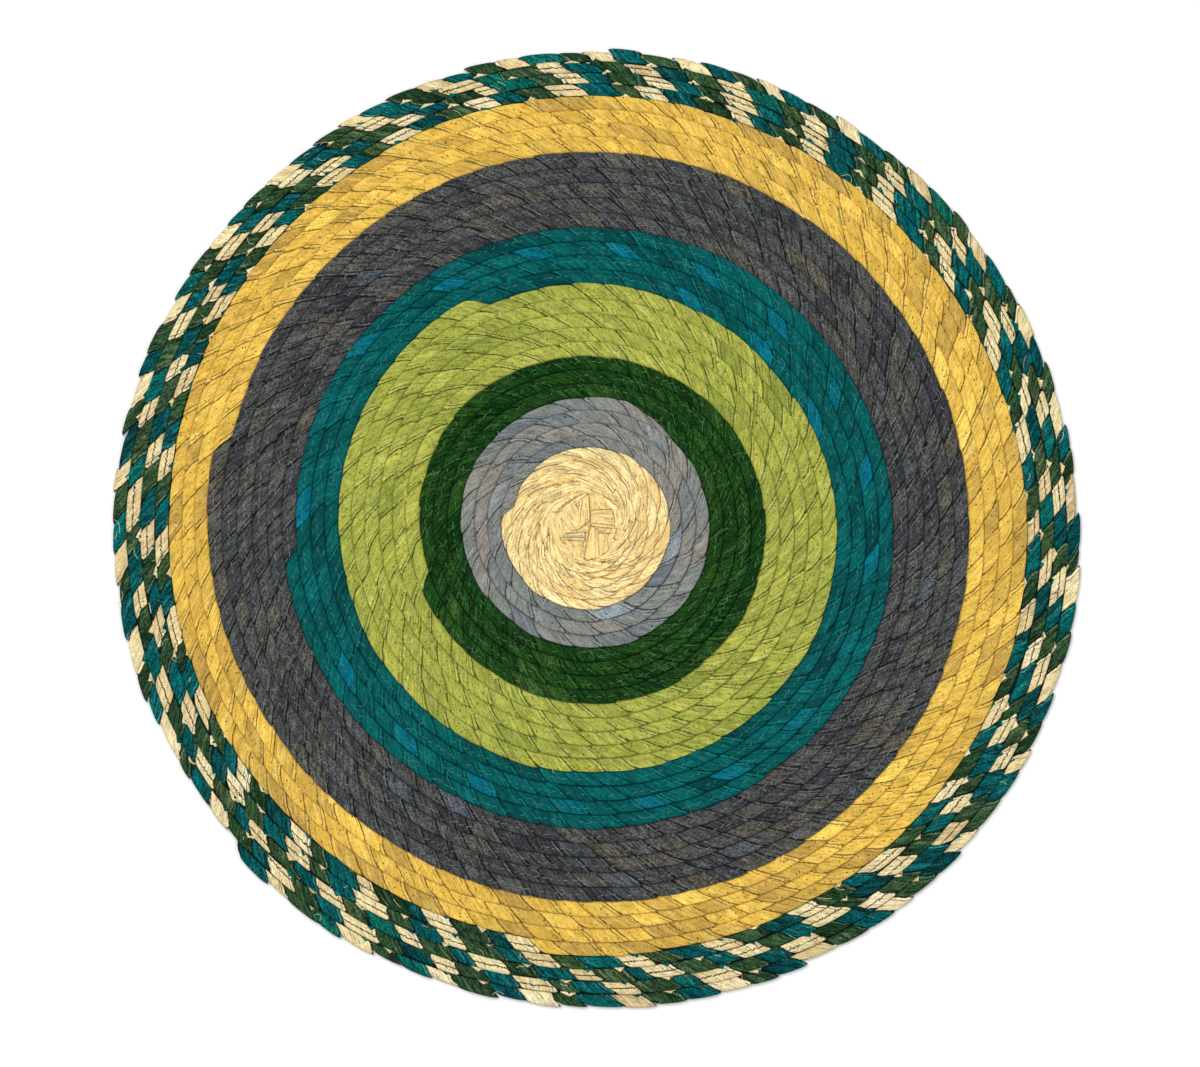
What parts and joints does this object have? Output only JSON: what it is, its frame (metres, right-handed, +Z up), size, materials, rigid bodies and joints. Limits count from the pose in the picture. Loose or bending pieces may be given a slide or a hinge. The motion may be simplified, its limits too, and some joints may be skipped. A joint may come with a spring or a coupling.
{
  "type": "round coiled placemat of plaited palm leaf",
  "caption": "Round flat placemat, a spiral of flat plaited leaf strips sewn turn to turn, in concentric colour bands with a mixed-colour border.",
  "frame": {"origin": "on the flat underside, at the middle of the round outline", "axes": "+Z up out of the patterned face; +Y towards the top edge of the picture and +X towards its right edge; seen from above the coil winds outwards clockwise"},
  "size_m": [0.3795, 0.3754, 0.0032],
  "materials": {
    "cream_leaf": "matte",
    "light_grey_leaf": "matte",
    "dark_green_leaf": "matte",
    "lime_leaf": "matte",
    "teal_leaf": "matte",
    "charcoal_leaf": "matte",
    "yellow_leaf": "matte",
    "mixed_leaf": "matte"
  },
  "bodies": {
    "root": {"plait_cream": "cream_leaf", "plait_light_grey": "light_grey_leaf", "plait_dark_green": "dark_green_leaf", "plait_lime": "lime_leaf", "plait_teal": "teal_leaf", "plait_charcoal": "charcoal_leaf", "plait_yellow": "yellow_leaf", "plait_mixed": "mixed_leaf"}
  },
  "joints": []
}
